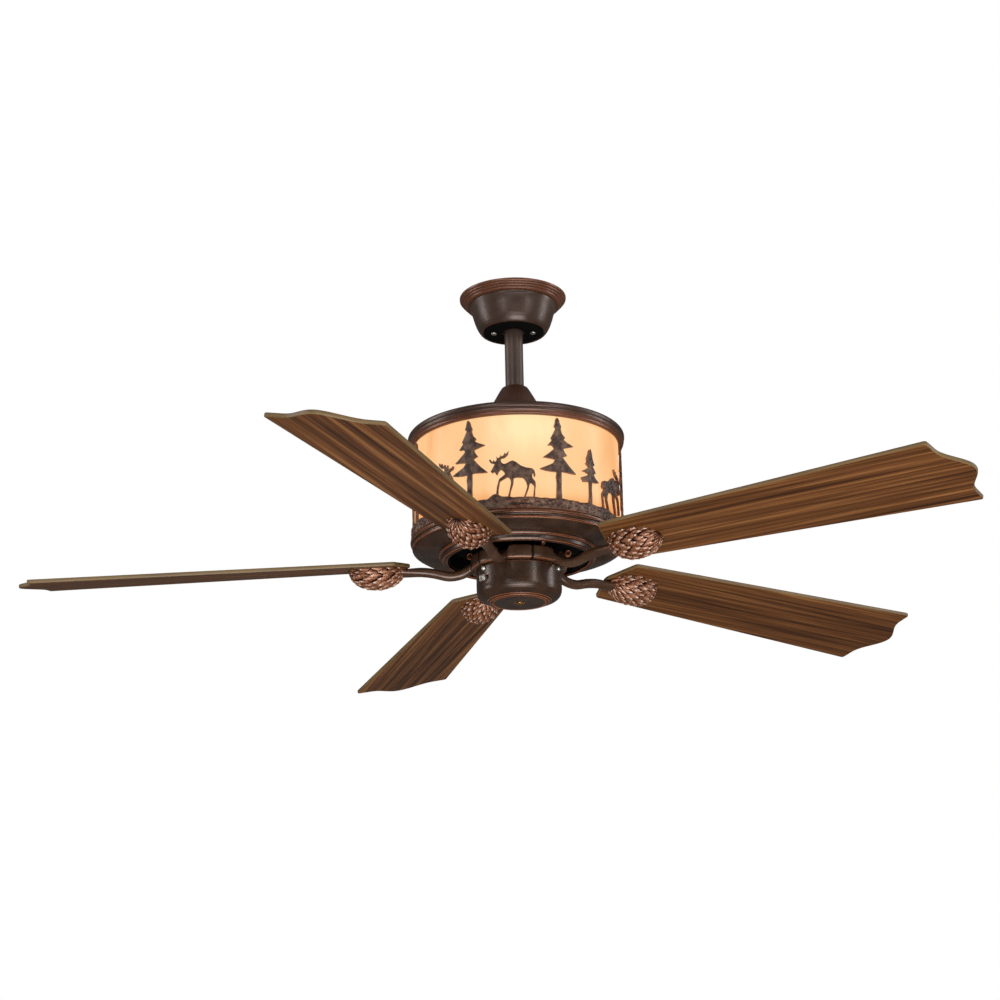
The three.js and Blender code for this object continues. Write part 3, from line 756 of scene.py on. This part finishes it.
# Outlines of the cut-out figures, seen from outside, from the ground line up.
TREE = [
    (0, 120), (3, 116), (4, 111), (6, 107), (5, 103), (7, 96), (12, 91), (9, 88), (15, 84), (25, 80),
    (18, 78), (8, 75), (10, 70), (14, 65), (7, 62), (11, 57), (17, 50), (28, 40), (20, 40), (9, 41),
    (4.5, 41), (4.5, 28), (4, 18), (4.5, 0), (-4, 0), (-3, 14), (-2.5, 26), (-3.5, 33), (-2, 40),
    (-11, 40), (-19, 41), (-27, 43), (-16, 48), (-8, 52), (-4, 58), (-11, 59), (-22, 60), (-15, 65),
    (-5, 74), (-8, 78), (-15, 78), (-8, 86), (-10, 89), (-7, 94), (-2, 104), (-5, 106), (-3, 111),
    (-2, 117)]
SAPLING = [
    (3, 83), (5, 76), (6, 69), (8, 64), (10, 60), (6, 58), (10, 52), (12, 48), (7, 47), (11, 41),
    (18, 36), (10, 34.5), (4, 35), (2.5, 24), (3, 12), (2.5, 0), (-3.5, 0), (-1.5, 12), (-1, 23),
    (-1, 34), (-12, 32), (-16, 38), (-6, 42), (-1, 45), (-7, 47), (-14, 48), (-6, 52), (-1, 56),
    (-7, 60), (-4, 63), (-5, 68), (-2, 74), (0, 81)]
MOOSE = [
    (-34, 40), (-32, 38), (-29, 40), (-27, 36), (-25.5, 34), (-23, 40), (-20, 42.5), (-16, 38),
    (-15, 35), (-19, 31.5), (-23, 28.5), (-26, 17), (-27.2, 5), (-24.4, 5), (-24, 14), (-22, 25),
    (-18, 27.5), (-11.5, 31), (-8.5, 28), (-7.5, 22), (-9.5, 12), (-12.5, 0), (-9.5, 0), (-8, 10),
    (-4.5, 21), (-4, 29), (0, 30), (8, 29.5), (12, 24), (13.5, 17), (11, 8.5), (8, 0), (10.5, 0),
    (15, 13), (17, 22), (19, 21.5), (22.5, 18), (22, 12), (20.5, 0), (23, 0), (23.5, 12), (24.5, 18),
    (24, 24), (20, 29), (20, 34), (21.5, 37), (22.5, 30), (24.5, 33), (23, 40), (20, 43), (12.5, 44),
    (6, 46.5), (-1, 52.5), (-5, 54.5), (-9, 53), (-14, 50), (-17, 50), (-20, 53), (-20.5, 58),
    (-15, 59), (-11, 63), (-9.5, 69), (-12, 65.5), (-14, 64), (-15, 67), (-16, 63), (-19.5, 60.5),
    (-20.5, 64), (-21.5, 60), (-24, 58.5), (-26, 62), (-25.5, 56), (-28, 53.5), (-29.5, 57),
    (-31, 53.5), (-34, 58), (-36, 57.5), (-34, 53), (-28, 51), (-31.5, 44)]
FIGURES = {"tree": TREE, "sapling": SAPLING, "moose": [(1.06 * x, y) for x, y in MOOSE]}
# Each figure's azimuth, and the way it faces: 1 to the left and -1 to the right, seen from outside.
SCENERY = [
    ("moose", -140, -1), ("tree", -116, 1), ("moose", -90, 1), ("tree", -67.5, 1),
    ("sapling", -47.5, 1), ("moose", -28, -1), ("tree", -4, 1), ("moose", 20, 1), ("tree", 44, 1),
    ("sapling", 64, 1), ("moose", 84, -1), ("tree", 108, 1), ("moose", 132, 1), ("tree", 156, 1),
    ("sapling", 177, 1), ("tree", 198, 1)]
# Rises in the ground: azimuth, height, half width in degrees.
HUMMOCKS = [(-106, -1.4, 2), (-101.5, 6, 3.2), (-95.5, 1.6, 3), (-84, 1, 4), (-66, 1, 2),
            (-49, 1.3, 2.5), (-36, 2, 4), (-25, -2.4, 4)]


def bent(x, y, z, azimuth):
    """A flat scene's point wrapped on the drum: x along it, y up from the blades' plane, z outwards."""
    angle = math.radians(azimuth) + x / SCENE_RADIUS
    radius = SCENE_RADIUS + z
    return (radius * math.cos(angle), radius * math.sin(angle), PLANE + y)


def cut_out(outline, azimuth, facing, grid=2.4):
    """A figure with a gently pillowed, hammered face, bent round the drum."""
    if facing < 0:
        outline = [(-x, y) for x, y in reversed(outline)]
    line = rounded(outline, 1.1, True, 3)
    shape = bmesh.new()
    face = shape.faces.new([shape.verts.new((x, y, 0)) for x, y in line])
    face.normal_update()
    for axis in (0, 1):
        values = [point[axis] for point in line]
        at = min(values) + grid
        while at < max(values):
            place = Vector((0, 0, 0))
            place[axis] = at
            normal = Vector((0, 0, 0))
            normal[axis] = 1
            parts = shape.verts[:] + shape.edges[:] + shape.faces[:]
            bmesh.ops.bisect_plane(shape, geom=parts, dist=1e-5, plane_co=place, plane_no=normal)
            at += grid
    bmesh.ops.triangulate(shape, faces=shape.faces)
    shape.verts.index_update()
    flat = np.array([v.co[:2] for v in shape.verts])
    ends = np.array(line)
    following = np.roll(ends, -1, 0)
    span = following - ends
    offset = flat[:, None] - ends[None]
    share = np.clip((offset * span).sum(2) / np.maximum((span ** 2).sum(1), 1e-9), 0, 1)
    inward = np.sqrt(((offset - share[..., None] * span) ** 2).sum(2)).min(1)
    crown = smooth_step(0, 2.6, inward)
    points = []
    for (x, y), rise in zip(flat, crown):
        lump = noise.noise(Vector((x * 0.22, y * 0.22, azimuth)))
        front = SCENE_THICKNESS * (0.45 + 0.42 * rise) + 0.35 * rise * lump
        points.append(bent(x, y + GROUND_TOP - 1, front, azimuth))
    count = len(points)
    points += [bent(x, y + GROUND_TOP - 1, SCENE_BACK, azimuth) for x, y in flat]
    faces = [[v.index for v in face.verts] for face in shape.faces]
    faces += [[v.index + count for v in reversed(face.verts)] for face in shape.faces]
    for edge in shape.edges:
        if len(edge.link_faces) == 1:
            a, b = edge.verts[0].index, edge.verts[1].index
            faces.append((a, b, b + count, a + count))
    shape.free()
    return tidy(mesh_from("figure", points, faces))


def ground_height(azimuth):
    height = GROUND_TOP + 0.3 + 1.3 * noise.noise(Vector((azimuth * 0.21, 3.1, 0)))
    for centre, rise, half in HUMMOCKS:
        away = (azimuth - centre + 180) % 360 - 180
        height += rise * math.exp(-(away / half) ** 2)
    if -180 < azimuth < -112 or azimuth > -15:
        height += 2.6 * max(0, noise.noise(Vector((azimuth * 0.11, 9.4, 0)))) * 2
    return height


def rocky_ground(steps=720, rows=16):
    """The strip of ground: an uneven top and a lumpy face with one slot, closed at the back."""
    slot_azimuth, slot_height, slot_depth = -87.8, 35.6, 3.4
    points = []
    faces = []
    count = rows + 3
    for step in range(steps):
        azimuth = 360 * step / steps - 180
        # The two ends of the turn meet, so the height is blended over the last few degrees.
        top = ground_height(azimuth)
        seam = smooth_step(172, 180, azimuth)
        top = float(top * (1 - seam) + ground_height(-180) * seam)
        angle = math.radians(azimuth)
        for row in range(rows + 1):
            share = row / rows
            y = GLASS_BOTTOM + (top - GLASS_BOTTOM) * share
            where = Vector((math.cos(angle) * 9, math.sin(angle) * 9, y * 0.07))
            cell = noise.voronoi(where * 1.9)[0]
            lump = 2.6 * (cell[1] - cell[0]) + 0.8 * noise.noise(where * 4)
            z = 2.0 - 0.9 * share + min(lump, 1.5) - 1.0 * smooth_step(0.86, 1, share)
            in_slot = smooth_step(7, 4.6, abs(azimuth - slot_azimuth))
            in_slot *= smooth_step(2.2, 1.0, abs(y - slot_height))
            z -= slot_depth * in_slot
            points.append(bent(0, y, float(min(z, 3.3)), azimuth))
        points.append(bent(0, top - 0.3, SCENE_BACK, azimuth))
        points.append(bent(0, GLASS_BOTTOM, SCENE_BACK, azimuth))
    for step in range(steps):
        low = step * count
        high = ((step + 1) % steps) * count
        for row in range(count):
            above = (row + 1) % count
            faces.append((low + row, high + row, high + above, low + above))
    return tidy(mesh_from("ground", points, faces))


def make_scene_band():
    parts = [rocky_ground()]
    parts += [cut_out(FIGURES[name], azimuth, facing) for name, azimuth, facing in SCENERY]
    mesh = joined("scene_band", parts)
    mark_wear_and_shade(mesh, 0.12, 0.5)
    make_piece("woodland_cutout", mesh, "bronze_relief", "scenic_band", angle=60)


# ------------------------ switch housing
def make_switch_housing():
    inner = CAN_RADIUS - 1.8
    can = [
        (inner, -17.6), (CAN_RADIUS, -17.6), (CAN_RADIUS, -44.5), (59.9, -48.6), (58.6, -52.4),
        (56, -55.8), (52.4, -58.2), (48.4, -59.4), (45.6, -59.8), (44.9, -60.9), (42.4, -61.3),
        (41.7, -62.6), (38.4, -62.9), (38.4, -61.6), (46, -58), (55.2, -53.4), (inner, -46.4)]
    slot = block(20, 17, 6.8, spun(SWITCH_AZIMUTH) @ shifted(60, 3, PLANE + SWITCH_HEIGHT))
    mesh = carved(turned("can", can, PLANE, 0.6, 1.2, 160), [slot])
    mark_wear_and_shade(mesh)
    make_piece("switch_can", mesh, "bronze", "switch_housing", angle=30)
    floor = CAP_UNDERSIDE
    cap = [(3.2, floor + 0.5), (6.6, floor + 0.5), (7.2, floor), (36.6, floor), (37.9, floor + 0.8),
           (37.9, floor + 2), (3.2, floor + 2)]
    make_piece("bottom_cap", turned("cap", cap, PLANE, 0.3, 2), "bronze", "switch_cap")
    plug = [
        (0, floor - 2.4), (2.2, floor - 2.2), (3.8, floor - 1.3), (4.6, floor - 0.3),
        (2.8, floor - 0.3), (2.8, floor + 3.6), (0, floor + 3.6)]
    make_piece("cap_button", turned("plug", plug, PLANE, 0.5, 0.6, 40), "brass", "cap_plug")
    for index, azimuth in enumerate(SCREW_AZIMUTHS, 1):
        place = spun(azimuth) @ shifted(60.9, 0, PLANE + SCREW_HEIGHT)
        outward = place @ Matrix.Rotation(math.pi / 2, 4, "Y")
        make_piece(f"housing_screw_head_{index}", screw_head(3.5, 2.8, outward), "zinc_steel",
                   f"housing_screw_{index}")
    out = spun(SWITCH_AZIMUTH) @ shifted(0, 0, PLANE + SWITCH_HEIGHT)
    stem = block(5, 8, 5.6, out @ shifted(59.4, 0, 0))
    parts = [stem, block(1.8, 11, 8.4, out @ shifted(61.8, 0, 0))]
    parts += [block(2.2, 1.5, 8.4, out @ shifted(63.3, y, 0)) for y in (-4.4, -1.5, 1.5, 4.4)]
    knob = modified(joined("knob", parts), "BEVEL", width=0.25 * MM, segments=2, limit_method="ANGLE")
    mark_wear_and_shade(knob, 0.6, 1.6)
    make_piece("reverse_knob_ribbed", knob, "zinc_steel", "reverse_switch_knob", body="reverse_knob")


# ------------------------ what turns: hub, irons, pine cones and blades
def make_hub():
    ring = [(12, -13.3), (44.8, -13.3), (45.6, -12.5), (45.6, 0.4), (44.8, 1.2), (12, 1.2)]
    make_piece("hub_drum", turned("hub", ring, PLANE, 0.3, 3), "black_paint", "rotor_hub", body="rotor")


def seat():
    """The palm, the pine cone and the blade share a frame that is pitched and drooped with the blade."""
    return Matrix.Rotation(BLADE_DROOP, 4, "Y") @ Matrix.Rotation(-BLADE_PITCH, 4, "X")


def spoke(index):
    return spun(BLADE_AZIMUTH + 360 / BLADES * index) @ shifted(0, 0, PLANE)


def on_every_spoke(name, mesh, slot, node, **finish):
    """Five numbered pieces from one mesh, each in place of its own CAD node."""
    for index in range(BLADES):
        copy = mesh.copy()
        copy.transform(spoke(index))
        make_piece(f"{name}_{index + 1}", copy, slot, f"{node}_{index + 1}", body="rotor", **finish)


def flange_mesh(stations=72):
    """A fifth of a ring round the hub, with a rolled outer wall that is scooped out over its arm."""
    half = math.radians(180 / BLADES - 0.4)
    wall = FLANGE_RADIUS - 4.4
    points = []
    section = []
    for station in range(stations + 1):
        angle = half * (2 * station / stations - 1)
        across = abs(FLANGE_RADIUS * math.sin(angle))
        top = 3.2 - 8.6 * float(1 - smooth_step(3.5, 11.5, across))
        section = rounded([
            (46.4, -16), (FLANGE_RADIUS - 1.2, -16), (FLANGE_RADIUS, -13.6),
            (FLANGE_RADIUS - 0.4, top - 2.4), (FLANGE_RADIUS - 1.6, top), (wall, top - 0.6),
            (wall, -10.4), (62, -10.2), (46.4, -10.6)], 1.4, True, 3)
        points += [(r * math.cos(angle), r * math.sin(angle), z) for r, z in section]
    count = len(section)
    faces = [*banded(stations + 1, count), range(count), range(len(points) - count, len(points))]
    return tidy(mesh_from("flange", points, faces))


def arm_mesh():
    path = flowing([
        (61, -7.6), (66, -10.6), (74, -15.6), (84, -20.2), (100, -21.8), (120, -17), (138, -14.6),
        (160, -15.2), (184, -15.8)])

    def section(share):
        root = 1 - float(smooth_step(0, 0.22, share))
        spread = 1 + 0.45 * root + 0.7 * float(smooth_step(0.72, 1, share))
        height = 6.9 - 1.8 * float(smooth_step(0.7, 1, share))
        return ellipse(7.4 * spread, height, 28)
    return swept(path, section)


def curl_mesh():
    """The small scroll that stands up from the flange, inside the pan's mouth."""
    turns = 1.4
    start = math.radians(-155)
    path = flowing([(66, -5), (64.5, 1), (62.6, 6), (64.2, 11)], 4)
    for step in range(49):
        share = step / 48
        angle = start + 2 * math.pi * turns * share
        radius = 5.0 - 3.2 * share
        path.append((CURL_RADIUS + radius * math.cos(angle), CURL_HEIGHT + radius * math.sin(angle)))

    def section(share):
        return ellipse(3.2 - 0.8 * share, 1.25, 16)
    mesh = swept(path, section)
    mesh.transform(spun(CURL_AZIMUTH))
    return mesh


def palm_mesh():
    outline = rounded([
        (158, -9), (176, -22), (206, -24), (226, -13), (232, 0), (226, 13), (206, 24), (176, 22),
        (158, 9)], 6, True, 5)
    points = [(x, y, UNDER_BLADE - depth) for depth in (0, 4) for x, y in outline]
    count = len(outline)
    faces = [range(count), range(2 * count - 1, count - 1, -1), *banded(2, count)]
    return tidy(mesh_from("palm", points, faces, seat()))


def darken_seams(iron):
    """No copper is rubbed through where two flanges meet, and painted shade darkens the seam between them."""
    wear, places = wear_and_places(iron)
    angle = np.degrees(np.abs(np.arctan2(places[:, 1], places[:, 0])))
    seam = smooth_step(33.6, 34.6, angle)
    set_attribute(iron, "wear", wear * (1 - seam))
    # Painted shade in the seam between two flanges.
    set_attribute(iron, "hollow_shade", seam)


def make_irons():
    rough = joined("iron", [flange_mesh(), arm_mesh(), curl_mesh(), palm_mesh()])
    iron = modified(rough, "REMESH", mode="VOXEL", voxel_size=0.8 * MM)
    iron = modified(iron, "SMOOTH", factor=0.5, iterations=3)
    mark_wear_and_shade(iron, 0.08, 0.42)
    darken_seams(iron)
    on_every_spoke("scrolled_iron", iron, "bronze", "blade_iron", angle=180, look="bronze_iron")


def cone_mesh(along=190, around=150):
    """Half a pine cone with overlapping scales that point to the blade's tip."""
    centre, length, width, depth = 201, 40.6, 29.6, 30.6
    scale_rows, scale_turns = 12.5, 17
    scale_front, scale_back, scale_side = 1.28, 1.0, 1.02
    lift = 6
    uneven = 0.24
    edge_width = 0.13
    points = []
    relief = []
    for i in range(along + 1):
        theta = math.pi * i / along
        for j in range(around + 1):
            phi = math.pi * j / around
            a = theta / math.pi * scale_rows
            b = phi / math.pi * scale_turns
            height = 0.0
            for row in range(math.floor(a) - 2, math.floor(a) + 3):
                for column in range(math.floor(b) - 2, math.floor(b) + 3):
                    if (row + column) % 2:
                        continue
                    ahead = a - row + uneven * math.sin(row * 12.9 + column * 4.7)
                    side = abs(b - column)
                    reach = scale_front if ahead > 0 else scale_back
                    inside = 1 - abs(ahead) / reach - side / scale_side
                    if inside <= 0:
                        continue
                    edge = min(1.0, inside / edge_width)
                    rise = 0.34 + 0.5 * (ahead + 1) / (1 + scale_front) + 0.16 * (1 - side)
                    height = max(height, edge ** 0.6 * rise)
            fade = min(1.0, math.sin(theta) * 3.2)
            inset = lift * (1 - height) * (0.35 + 0.65 * fade)
            relief.append(height * (0.5 + 0.5 * fade))
            ring = max(math.sin(theta), 0) ** 0.86
            points.append((centre - (length - inset * 0.5) * math.cos(theta),
                           (width - inset) * ring * math.cos(phi),
                           UNDER_BLADE - (depth - inset) * ring * math.sin(phi)))
    mesh = mesh_from("cone", points, banded(along + 1, around + 1), seat())
    set_attribute(mesh, "relief", relief)
    return tidy(mesh)


def blade_outline():
    """The blade's plan: a shallow point at the root, square shoulders and a crowned tip."""
    crown = []
    crown_half, crown_base, crown_height = 58, 683.6, 26.8
    steps = 32
    for step in range(steps + 1):
        y = crown_half * (2 * step / steps - 1)
        swell = (0.5 * (1 + math.cos(math.pi * y / crown_half))) ** 1.1
        crown.append((crown_base + crown_height * swell, y))
    outline = [(152.9, 0), (172.9, -52), (683, -78.8), *crown, (683, 78.8), (172.9, 52)]
    soft = {0: 8, 1: 5, 2: 5, len(outline) - 2: 5, len(outline) - 1: 5}
    line = []
    for index, corner in enumerate(outline):
        here = Vector(corner)
        if index not in soft:
            line.append(tuple(here))
            continue
        before = (Vector(outline[index - 1]) - here).normalized() * soft[index]
        after = (Vector(outline[(index + 1) % len(outline)]) - here).normalized() * soft[index]
        line += arc(here + before, here, here + after, 6)
    return line


def inset_line(line, distance):
    """The outline moved inwards; it runs counterclockwise."""
    moved = []
    count = len(line)
    for index, point in enumerate(line):
        along = Vector(line[(index + 1) % count]) - Vector(line[index - 1])
        inward = Vector((-along.y, along.x)).normalized()
        moved.append(tuple(Vector(point) + inward * distance))
    return moved


def blade_mesh():
    """Bottom cap, bevelled wall and top cap; the wall's faces take the edge material."""
    line = resampled(blade_outline(), 14)
    half = BLADE_THICKNESS / 2
    bevel = 1.3
    levels = [
        (bevel + 1.4, -half), (bevel, -half), (bevel * 0.35, -half + bevel * 0.3), (0, -half + bevel),
        (0, half - bevel), (bevel * 0.35, half - bevel * 0.3), (bevel, half), (bevel + 1.4, half)]
    points = []
    for distance, z in levels:
        points += [(x, y, z) for x, y in inset_line(line, distance)]
    count = len(line)
    bottom = range(count - 1, -1, -1)
    top = range(len(points) - count, len(points))
    mesh = mesh_from("blade", points, [bottom, *banded(len(levels), count), top])
    # After the bottom face come the rings of faces; the first and the last lie on the flat sides.
    wall = range(1 + count, 1 + (len(levels) - 2) * count)
    for polygon in mesh.polygons:
        polygon.material_index = 1 if polygon.index in wall else 0
    return mesh


def make_blades():
    plain = blade_mesh()
    local = np.array([v.co for v in plain.vertices])
    for index in range(BLADES):
        blade = plain.copy()
        offset = np.array([3.1 * index, 0.37 * index, 0.11 * index])
        set_attribute(blade, "grain", local + offset, "FLOAT_VECTOR")
        blade.materials.append(LOOKS["walnut"])
        blade.materials.append(LOOKS["walnut_edge"])
        blade.transform(spoke(index) @ seat())
        make_piece(f"walnut_blade_{index + 1}", blade, "walnut", f"blade_{index + 1}", body="rotor",
                   angle=35)
        heads = [screw_head(5.2, 2.6, spoke(index) @ seat() @ shifted(x, y, BLADE_THICKNESS / 2))
                 for x, y in ((184, -15), (184, 15), (214, 0))]
        heads = joined("blade_screws", heads)
        make_piece(f"blade_screws_{index + 1}", heads, "zinc_steel", body="rotor")


# ------------------------ what stays as the CAD made it
def dress_frame():
    """Gives every CAD node that is still shown its slot's procedural material and softened edges."""
    slots = {part["node"]: part["material_slot"] for part in frame["record"]["subparts"]}
    for name, node in frame["nodes"].items():
        if node.hide_render:
            continue
        slot = slots[name]
        node.data.materials.clear()
        node.data.materials.append(LOOKS[slot])
        bevel = node.modifiers.new("soft edges", "BEVEL")
        bevel.width = 0.3 * MM
        bevel.segments = 2
        bevel.limit_method = "ANGLE"
        bevel.angle_limit = math.radians(40)
        bevel.use_clamp_overlap = True


def make_floor():
    """A plain pale disc far below the fan; metres."""
    radius, height = 9, -5.2
    shape = bmesh.new()
    bmesh.ops.create_circle(shape, cap_ends=True, radius=radius, segments=96,
                            matrix=Matrix.Translation((0, 0, height)))
    mesh = mesh_of("floor", shape)
    look = Look("floor", 0.9)
    pale = look.mix(look.noise(0.6, 2), (0.80, 0.80, 0.79, 1), (0.84, 0.84, 0.83, 1))
    look.colour(pale)
    look.glow(pale, 0.45)
    mesh.materials.append(look.material)
    floor = added("floor", mesh)
    floor.visible_glossy = False


make_camera()
make_studio()
make_canopy()
make_rod()
make_drum_metal()
make_glass()
make_scene_band()
make_switch_housing()
make_hub()
make_irons()
on_every_spoke("scaled_cone", cone_mesh(), "pine_cone_bronze", "pine_cone", angle=70)
make_blades()
dress_frame()
make_floor()
